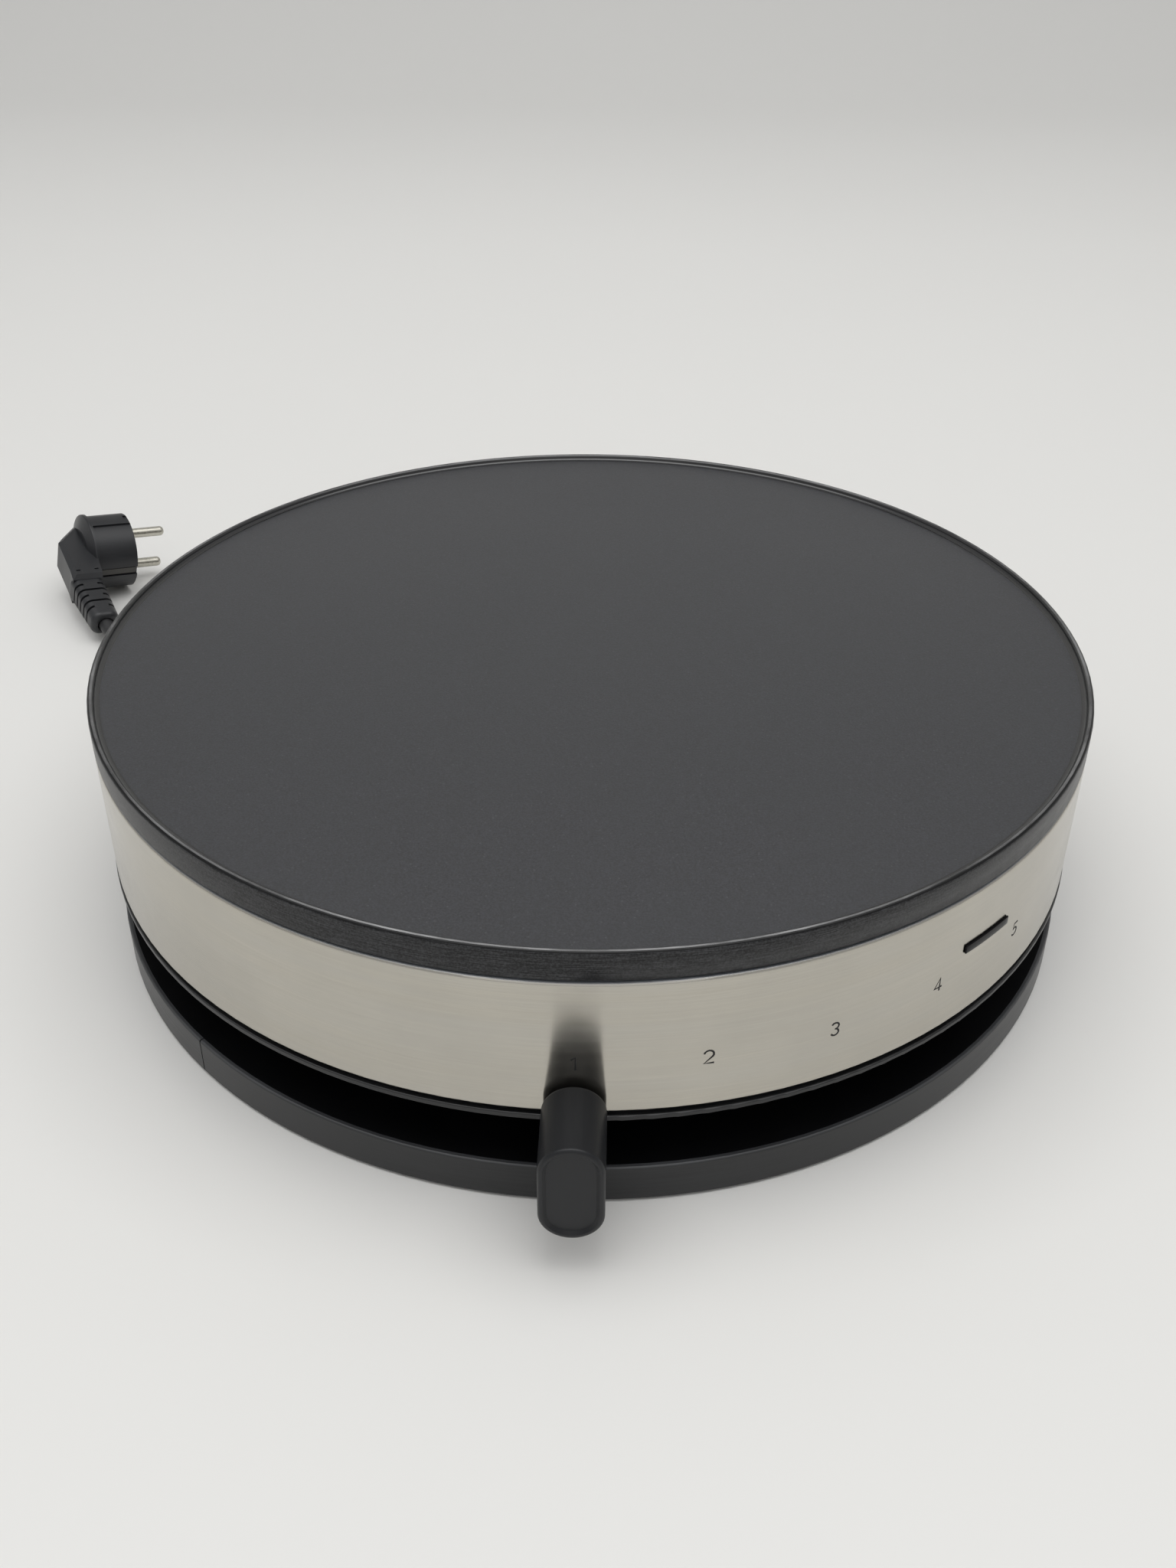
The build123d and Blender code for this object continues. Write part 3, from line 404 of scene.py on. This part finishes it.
def gripPlastic(s):
    color, roughness = s["color"], s["roughness"]
    mat, tree, shader = newMaterial("gripPlastic", color, roughness, Specular_IOR_Level=s["specular"])
    stretch = {"Vector": objectPoint(tree), "Scale": s["grainScale"]}
    grain = noise(tree, addNode(tree, "ShaderNodeMapping", stretch).outputs[0], detail=2.0)
    fine = noise(tree, objectPoint(tree), s["fineScale"], detail=2.0)
    dark, light = s["tones"]
    face = mixColor(tree, spread(tree, grain, 0.0, 1.0), toned(color, dark), toned(color, light))
    connect(tree, shader, Base_Color=face, Roughness=around(tree, grain, roughness, s["give"]))
    addBump(tree, shader, math2(tree, "ADD", grain, fine), s["relief"], strength=0.6)
    return mat


# satin skin of the base: faint drawn lines round it and a painted highlight, in patches, along its
# upper edge
trimSet = {
    "color": (0.0170, 0.0176, 0.0188),
    "tones": (0.8, 1.25),
    "roughness": 0.34,
    "give": (0.03, 0.05),
    "specular": 0.45,
    "lines": (30.0, 1300.0),
    "relief": 0.000006,
    # colour of the painted highlight on the upper edge
    "edge": (0.060, 0.062, 0.066),
    "edgeFrom": 0.0138,
    "edgeBlend": 0.0002,
    "highlightPatchScale": 22.0,
    "highlightPatchLeast": 0.35,
}


def trimPlastic(s):
    color, roughness = s["color"], s["roughness"]
    mat, tree, shader = newMaterial("trimPlastic", color, roughness, Specular_IOR_Level=s["specular"])
    lines = noise(tree, ringPoint(tree, *s["lines"]), rough=0.6)
    # painted highlight along the upper edge, in patches
    edge = spread(tree, pointAxis(tree, "Z"), 0.0, 1.0, s["edgeFrom"], s["edgeFrom"] + s["edgeBlend"])
    highlightPatches = noise(tree, objectPoint(tree), s["highlightPatchScale"], detail=4.0)
    paintedEdgeHighlight = math2(tree, "MULTIPLY", edge, spread(tree, highlightPatches, s["highlightPatchLeast"], 1.0))
    dark, light = s["tones"]
    face = mixColor(tree, spread(tree, lines, 0.0, 1.0), toned(color, dark), toned(color, light))
    rough = around(tree, lines, roughness, s["give"])
    connect(tree, shader, Base_Color=mixColor(tree, paintedEdgeHighlight, face, s["edge"]), Roughness=rough)
    addBump(tree, shader, lines, s["relief"], strength=0.5)
    return mat


# lens of the indicator: near black and smooth
lensSet = {
    "color": (0.0016, 0.0013, 0.0016),
    "roughness": 0.10,
    "roughRange": (0.07, 0.14),
    "specular": 0.14,
    "streakScale": 260.0,
}


def lensPlastic(s):
    color, roughness = s["color"], s["roughness"]
    mat, tree, shader = newMaterial("lensPlastic", color, roughness, Specular_IOR_Level=s["specular"])
    streak = noise(tree, objectPoint(tree), s["streakScale"], detail=2.0)
    connect(tree, shader, Roughness=spread(tree, streak, *s["roughRange"]))
    return mat


# gasket between plate and drum
fibreSet = {
    "color": (0.05, 0.048, 0.045),
    "dark": (0.02, 0.019, 0.018),
    "light": (0.09, 0.086, 0.08),
    "roughness": 0.85,
    "strands": (700.0, 2500.0),
    "relief": 0.0001,
}


def pressedFibre(s):
    mat, tree, shader = newMaterial("pressedFibre", s["color"], s["roughness"])
    strands = noise(tree, ringPoint(tree, *s["strands"]), detail=4.0, rough=0.7)
    color = mixColor(tree, spread(tree, strands, 0.0, 1.0), s["dark"], s["light"])
    connect(tree, shader, Base_Color=color)
    addBump(tree, shader, strands, s["relief"])
    return mat


# sheath of the cord, its reliefs and its tie
sheathSet = {
    "color": (0.014, 0.014, 0.015),
    "dark": (0.012, 0.012, 0.013),
    "dusty": (0.024, 0.024, 0.025),
    "dustScale": 40.0,
    "roughness": 0.42,
    "roughRange": (0.36, 0.50),
    "fineScale": 900.0,
    "relief": 0.00004,
}


def cordRubber(s):
    mat, tree, shader = newMaterial("cordRubber", s["color"], s["roughness"])
    fine = noise(tree, objectPoint(tree), s["fineScale"])
    dust = noise(tree, objectPoint(tree), s["dustScale"], detail=4.0)
    color = mixColor(tree, spread(tree, dust, 0.0, 1.0), s["dark"], s["dusty"])
    connect(tree, shader, Base_Color=color, Roughness=spread(tree, fine, *s["roughRange"]))
    addBump(tree, shader, fine, s["relief"])
    return mat


# plain mouldings: name, colour, roughness, grain, relief, wear and, for the deck, specular
plastics = {
    "base": ("satinBlackPlastic", (0.0085, 0.0088, 0.0097), 0.33, 1900.0, 0.000012, 0.2),
    "inner": ("innerBlackPlastic", (0.0065, 0.0065, 0.007), 0.52, 1200.0, 0.00004, 0.3),
    # the deck's near-black colour is painted shade, for the recess under the drum
    "shadedDeck": ("deckShadePainted", (0.0016, 0.0017, 0.0021), 0.62, 1200.0, 0.00003, 0.3, 0.06),
    "plug": ("plugPlastic", (0.0125, 0.0132, 0.0152), 0.38, 1400.0, 0.00003, 0.3),
    "rubber": ("footRubber", (0.016, 0.016, 0.017), 0.62, 800.0, 0.00006, 0.3),
    "ceramic": ("creamMoulding", (0.62, 0.57, 0.47), 0.50, 700.0, 0.00005, 0.08),
    "ink": ("printInk", (0.0035, 0.0036, 0.0045), 0.62, 2500.0, 0.000005, 0.3),
}
# plain metals: name, colour, roughness and, where they differ, grain and metallic
metals = {
    "zinc": ("zincPlate", (0.62, 0.63, 0.64), 0.30),
    "nickel": ("nickelPlate", (0.60, 0.58, 0.51), 0.32),
    # the earth clips' nickel is painted dark: painted shade for the groove they sit in
    "shadedNickel": ("nickelPaintedShade", (0.09, 0.088, 0.084), 0.42),
    "element": ("heatedSheath", (0.30, 0.27, 0.25), 0.42),
    "shield": ("brightSheet", (0.72, 0.72, 0.71), 0.25, 500.0),
    "lamp": ("lampGlass", (0.80, 0.45, 0.25), 0.12, 300.0, 0.0),
}
finishes = {
    "steel": brushedSteel(steelSet),
    "plate": nonstickPlate(plateSet),
    "rim": enamelRim(rimSet),
    "knob": gripPlastic(knobSet),
    "trim": trimPlastic(trimSet),
    "lens": lensPlastic(lensSet),
    "fibre": pressedFibre(fibreSet),
    "cord": cordRubber(sheathSet),
    **{finish: mouldedPlastic(mouldedSet, *values) for finish, values in plastics.items()},
    **{finish: turnedMetal(turnedSet, *values) for finish, values in metals.items()},
}
nodeFinish = {
    "plate": ["hot_plate"],
    "steel": ["steel_drum"],
    "base": ["housing_tray"],
    "trim": ["base_trim"],
    "shadedDeck": ["base_pan"],
    "inner": ["bottom_cover", "pedestal_ring", "lever_arm", "cord_clamp"],
    "knob": ["lever_knob"],
    "lens": ["indicator_lens"],
    "fibre": ["plate_gasket"],
    "cord": ["cord_relief", "cord_tail", "cord_tie", "cord_to_coil", "cord_coil", "cord_to_plug"],
    "plug": ["plug_body"],
    "rubber": ["rubber_feet"],
    "ceramic": ["lamp_holder", "thermal_cutout", "thermostat", "terminal_block"],
    "zinc": [
        "element_terminals", "plate_studs", "stud_spacers", "stud_nuts", "pedestal_screws",
        "cover_screws", "thermostat_screws", "thermostat_shaft", "hub_screw",
    ],
    "nickel": ["plug_pins"],
    "shadedNickel": ["plug_earth_clips"],
    "element": ["heating_element"],
    "shield": ["heat_shield"],
    "lamp": ["indicator_lamp"],
}


def setFinish(obj, finish):
    obj.data.materials.clear()
    obj.data.materials.append(finishes[finish])


for finish, members in nodeFinish.items():
    for name in members:
        setFinish(nodes[name], finish)
unfinished = sorted(set(nodes) - {name for members in nodeFinish.values() for name in members})
print("finishes set; nodes without one:", unfinished)

# mains cord: one line from the relief, through the coil, round the body to the plug
cordSet = {
    "diameter": 0.007,
    "length": 1.5,
    "exit": (0.0, 0.20153, 0.008),
    "toCoil": [(0.0003, 0.2180, 0.0070), (0.0004, 0.2340, 0.0041)],
    "coilCentre": (-0.043, 0.250),
    "coilRadii": (0.0429, 0.036, 0.029),
    "coilLevels": (0.0036, 0.0106),
    "coilTurns": 5,
    "coilChanges": [  # from and to, in degrees of turn, then the new radius and level
        (210.0, 335.0, 1, 0),
        (570.0, 695.0, 2, 0),
        (885.0, 995.0, 2, 1),
        (1210.0, 1320.0, 1, 1),
        (1570.0, 1680.0, 0, 1),
    ],
    "leaveDeg": 130.0,
    "pointsPerTurn": 24,
    "toPlug": [
        (-0.0950, 0.2625, 0.0064),
        (-0.1115, 0.2335, 0.0036),
        (-0.1260, 0.2040, 0.0036),
        (-0.1381, 0.1746, 0.0036),
        (-0.1550, 0.1428, 0.0036),
        (-0.1876, 0.1332, 0.0036),
        (-0.2221, 0.1521, 0.0036),
        (-0.23519, 0.17346, 0.00977),
    ],
    "stepsAlong": 6,
    "stepsRound": 5,
}


def coilPoint(s, turnDeg):
    # the cord lies in a bundle three wide and two high, and moves from place to place in it
    radius, z = s["coilRadii"][0], s["coilLevels"][0]
    for start, end, ring, level in s["coilChanges"]:
        share = min(1.0, max(0.0, (turnDeg - start) / (end - start)))
        share = share * share * (3 - 2 * share)
        radius += (s["coilRadii"][ring] - radius) * share
        z += (s["coilLevels"][level] - z) * share
    angle = math.radians(turnDeg)
    x, y = s["coilCentre"]
    return (x + radius * math.cos(angle), y + radius * math.sin(angle), z)


def makeCord(s):
    points = [s["exit"], *s["toCoil"]]
    last = 360.0 * s["coilTurns"] + s["leaveDeg"]
    count = int(last * s["pointsPerTurn"] / 360.0)
    points += [coilPoint(s, last * i / count) for i in range(count + 1)]
    points += s["toPlug"]
    data = bpy.data.curves.new("mainsCord", "CURVE")
    data.dimensions = "3D"
    spline = data.splines.new("NURBS")
    spline.points.add(len(points) - 1)
    for target, point in zip(spline.points, points):
        target.co = (*point, 1.0)
        target.radius = s["diameter"] / 2
    spline.use_endpoint_u = True
    spline.order_u = 3
    spline.resolution_u = s["stepsAlong"]
    data.bevel_depth = 1.0  # each point's own radius makes it the cord's
    data.bevel_resolution = s["stepsRound"]
    data.use_fill_caps = True
    cord = addObject("mainsCord", data)
    data.materials.append(finishes["cord"])
    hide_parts("cord_to_coil", "cord_coil", "cord_to_plug")


makeCord(cordSet)
print("cord laid")

# plate with its rolled bead, on the underside and skirt of the cast one
plateShape = {
    "rimFoot": 0.0870,
    "wallFoot": 0.0885,
    "cookZ": 0.0949,
    "cookSlack": 0.0003,
    "beadRadius": 0.0011,
    "beadZ": 0.0959,
    "beadSteps": 12,
    "hollow": (0.0016, 0.0010),
    "hollowSteps": 6,
    "cutRadius": 0.168,
    "enamelFrom": 0.17418,
    "flatRadius": 0.165,
}


def beadProfile(s):
    # the bead's half circle from the outside in, then a hollow down to the cooking face
    bead, beadZ = s["beadRadius"], s["beadZ"]
    beadMid = bodyRadius - bead
    rings = [(bodyRadius, beadZ)]
    for i in range(1, s["beadSteps"] + 1):
        angle = math.pi * i / s["beadSteps"]
        rings.append((beadMid + bead * math.cos(angle), beadZ + bead * math.sin(angle)))
    wide, deep = s["hollow"]
    inner = beadMid - bead - wide
    for i in range(1, s["hollowSteps"] + 1):
        angle = math.pi / 2 * i / s["hollowSteps"]
        rings.append((inner + wide * math.cos(angle), beadZ - deep * math.sin(angle)))
    rings.append((s["flatRadius"], s["cookZ"]))
    return rings


def makePlate(s):
    bm = bmesh.new()
    bm.from_mesh(nodes["hot_plate"].data)
    bmesh.ops.remove_doubles(bm, verts=bm.verts[:], dist=0.000001)
    gone = []
    for face in bm.faces:
        x, y, z = face.calc_center_median()
        onRim = z > s["wallFoot"] and math.hypot(x, y) > s["cutRadius"]
        if onRim or z > s["cookZ"] - s["cookSlack"]:
            gone.append(face)
    bmesh.ops.delete(bm, geom=gone, context="FACES")
    edges = [e for e in bm.edges if e.is_boundary]
    for radius, z in beadProfile(s):
        grown = bmesh.ops.extrude_edge_only(bm, edges=edges)["geom"]
        ring = {g for g in grown if isinstance(g, bmesh.types.BMVert)}
        for v in ring:
            out = radius / math.hypot(v.co.x, v.co.y)
            v.co = (v.co.x * out, v.co.y * out, z)
        edges = [g for g in grown if isinstance(g, bmesh.types.BMEdge) and ring.issuperset(g.verts)]
    bmesh.ops.contextual_create(bm, geom=edges)
    bmesh.ops.recalc_face_normals(bm, faces=bm.faces[:])
    for face in bm.faces:
        x, y, z = face.calc_center_median()
        face.material_index = int(z > s["rimFoot"] and math.hypot(x, y) > s["enamelFrom"])
    mesh = meshFrom(bm, "beadedPlate")
    shadeSmooth(mesh)
    mesh.materials.append(finishes["plate"])
    mesh.materials.append(finishes["rim"])
    plate = addObject("beadedPlate", mesh)
    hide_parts("hot_plate")


makePlate(plateShape)
print("plate made")

# indicator lens: a rounded bar on the drum, its neck in the slot and a flange behind the sheet;
# each has a length, a width, how far its back and its front lie behind the drum's face, a bevel
lensShape = {
    "azimuth": 43.5,
    "z": 0.0653,
    "head": (0.0217, 0.0031, -0.00003, -0.0007, 0.0005),
    "neck": (0.0212, 0.0026, 0.0016, -0.0001, 0.0006),
    "flange": (0.0280, 0.0092, 0.0030, 0.0016, 0.0004),
    "cuts": 9,
}


def lensBlock(bm, block, cuts):
    length, width, back, front, bevel = block
    made = bmesh.ops.create_cube(bm, size=1.0)["verts"]
    bmesh.ops.scale(bm, vec=(length, back - front, width), verts=made)
    bmesh.ops.translate(bm, vec=(0.0, (back + front) / 2, 0.0), verts=made)
    edges = {e for v in made for e in v.link_edges}
    bevelled = bmesh.ops.bevel(
        bm, geom=list(edges), offset=bevel, offset_type="OFFSET", affect="EDGES", segments=4,
        profile=0.5, material=-1, clamp_overlap=True,
    )
    faces = {f for v in bevelled["verts"] for f in v.link_faces}
    for i in range(1, cuts + 1):  # cuts across the length let the bar bend
        at = ((length - 2 * bevel) * (i / (cuts + 1) - 0.5), 0.0, 0.0)
        geometry = {g for f in faces if f.is_valid for g in (f, *f.edges, *f.verts)}
        cut = bmesh.ops.bisect_plane(bm, geom=list(geometry), plane_co=at, plane_no=(1.0, 0.0, 0.0))
        faces |= {g for g in cut["geom"] if isinstance(g, bmesh.types.BMFace)}


def makeLens(s):
    bm = bmesh.new()
    for block in ("head", "neck", "flange"):
        lensBlock(bm, s[block], s["cuts"])
    for v in bm.verts:
        turned = s["azimuth"] + math.degrees(v.co.x / bodyRadius)
        v.co = azimuthPoint(bodyRadius - v.co.y, turned, s["z"] + v.co.z)
    bmesh.ops.recalc_face_normals(bm, faces=bm.faces[:])
    mesh = meshFrom(bm, "indicatorBar")
    shadeSmooth(mesh)
    lens = addObject("indicatorBar", mesh)
    setFinish(lens, "lens")
    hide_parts("indicator_lens")


makeLens(lensShape)
print("lens made")

# numerals of the temperature scale, printed on the drum
scaleSet = {
    "azimuths": (-1.4, 11.3, 24.0, 36.7, 49.6),
    "z": 0.0566,
    "height": 0.0048,
    "stroke": 0.00062,
    "strokeSteps": 2,
    "ink": 0.00004,
}


def arcPoints(x, z, radius, fromDeg, toDeg, count=9):
    angles = [math.radians(fromDeg + (toDeg - fromDeg) * i / (count - 1)) for i in range(count)]
    return [(x + radius * math.cos(a), z + radius * math.sin(a)) for a in angles]


# strokes of each figure, one unit high
figures = {
    "1": [[(0.10, 0.80), (0.36, 1.0), (0.36, 0.0)]],
    "2": [arcPoints(0.31, 0.70, 0.30, 170, -38) + [(0.02, 0.0), (0.64, 0.0)]],
    "3": [arcPoints(0.30, 0.75, 0.25, 155, -90), arcPoints(0.30, 0.26, 0.26, 90, -155)],
    "4": [[(0.46, 0.0), (0.46, 1.0), (0.0, 0.27), (0.66, 0.27)]],
    "5": [[(0.58, 1.0), (0.16, 1.0), (0.09, 0.55)] + arcPoints(0.30, 0.31, 0.31, 122, -150)],
}


def makeFigure(figure, azimuthDeg, s):
    strokes = figures[figure]
    data = bpy.data.curves.new("stroke", "CURVE")
    data.dimensions = "3D"
    width = max(x for stroke in strokes for x, z in stroke)
    for stroke in strokes:
        spline = data.splines.new("POLY")
        spline.points.add(len(stroke) - 1)
        for target, (x, z) in zip(spline.points, stroke):
            target.co = ((x - width / 2) * s["height"], 0.0, (z - 0.5) * s["height"], 1.0)
    data.bevel_depth = s["stroke"] / 2
    data.bevel_resolution = s["strokeSteps"]
    data.use_fill_caps = True
    pen = bpy.data.objects.new("pen", data)
    mesh = bpy.data.meshes.new_from_object(pen)
    bpy.data.objects.remove(pen)
    for v in mesh.vertices:  # flattened to the ink's thickness and bent to the drum
        turned = azimuthDeg + math.degrees(v.co.x / bodyRadius)
        out = -v.co.y / (s["stroke"] / 2) * s["ink"]
        v.co = azimuthPoint(bodyRadius + out, turned, s["z"] + v.co.z)
    numeral = addObject("numeral" + figure, mesh)
    setFinish(numeral, "ink")


for figure, azimuth in zip(figures, scaleSet["azimuths"]):
    makeFigure(figure, azimuth, scaleSet)
print("scale printed")

# studio: pale floor that sweeps up behind, soft light from above
studioSet = {
    "floorColor": (0.80, 0.795, 0.775),
    "floorRoughness": 0.42,
    "floorTone": 0.985,
    "floorScale": 1.7,
    "reach": 4.0,
    "bendAt": 1.5,
    "bendRadius": 1.1,
    "bendSteps": 24,
    "wallTop": 3.0,
    "wallShadeTone": 0.82,
    "backFrom": 0.9,
    "backTo": 2.4,
    "world": 0.46,
    "panels": [((-0.7, -0.15, 2.4), 20.4), ((0.7, -0.15, 2.4), 20.4), ((0.0, -2.0, 1.4), 3.5)],
    "panelSize": 1.9,
    "aim": (0.0, 0.4, 0.0),
}


def floorMaterial(s):
    # a little darker in soft patches, and darker towards the wall as painted shade
    mat, tree, shader = newMaterial("paleTable", s["floorColor"], s["floorRoughness"])
    soft = spread(tree, noise(tree, objectPoint(tree), s["floorScale"]), 0.0, 1.0)
    table = mixColor(tree, soft, toned(s["floorColor"], s["floorTone"]), s["floorColor"])
    far = spread(tree, pointAxis(tree, "Y"), 0.0, 1.0, s["backFrom"], s["backTo"])
    wall = toned(s["floorColor"], s["wallShadeTone"])
    connect(tree, shader, Base_Color=mixColor(tree, far, table, wall))
    return mat


def makeSweep(s):
    bm = bmesh.new()
    start = bm.verts.new((-s["reach"], -s["reach"], 0.0))
    bend = bm.verts.new((-s["reach"], s["bendAt"], 0.0))
    bm.edges.new((start, bend))
    swept = bmesh.ops.spin(
        bm, geom=[bend], cent=(0.0, s["bendAt"], s["bendRadius"]), axis=(1.0, 0.0, 0.0),
        angle=math.radians(90), steps=s["bendSteps"],
    )
    topVert = [g for g in swept["geom_last"] if isinstance(g, bmesh.types.BMVert)][0]
    wall = bm.verts.new((-s["reach"], s["bendAt"] + s["bendRadius"], s["wallTop"]))
    bm.edges.new((topVert, wall))
    grown = bmesh.ops.extrude_edge_only(bm, edges=bm.edges[:])
    across = [g for g in grown["geom"] if isinstance(g, bmesh.types.BMVert)]
    bmesh.ops.translate(bm, vec=(2 * s["reach"], 0.0, 0.0), verts=across)
    bmesh.ops.recalc_face_normals(bm, faces=bm.faces[:])
    mesh = meshFrom(bm, "studioSweep")
    mesh.shade_smooth()
    mesh.materials.append(floorMaterial(s))
    addObject("studioSweep", mesh, body=None)


def makeLight(s):
    for place, power in s["panels"]:
        lamp = bpy.data.lights.new("panel", "AREA")
        lamp.size = s["panelSize"]
        lamp.energy = power
        panel = bpy.data.objects.new("panel", lamp)
        turn = (Vector(s["aim"]) - Vector(place)).to_track_quat("-Z", "Y")
        panel.matrix_world = Matrix.Translation(place) @ turn.to_matrix().to_4x4()
        bpy.context.scene.collection.objects.link(panel)
    world = bpy.data.worlds.new("softRoom")
    world.use_nodes = True
    sky = world.node_tree.nodes["Background"]
    sky.inputs["Color"].default_value = (1.0, 1.0, 1.0, 1.0)
    sky.inputs["Strength"].default_value = s["world"]
    bpy.context.scene.world = world


makeSweep(studioSet)
makeLight(studioSet)
print("studio lit")
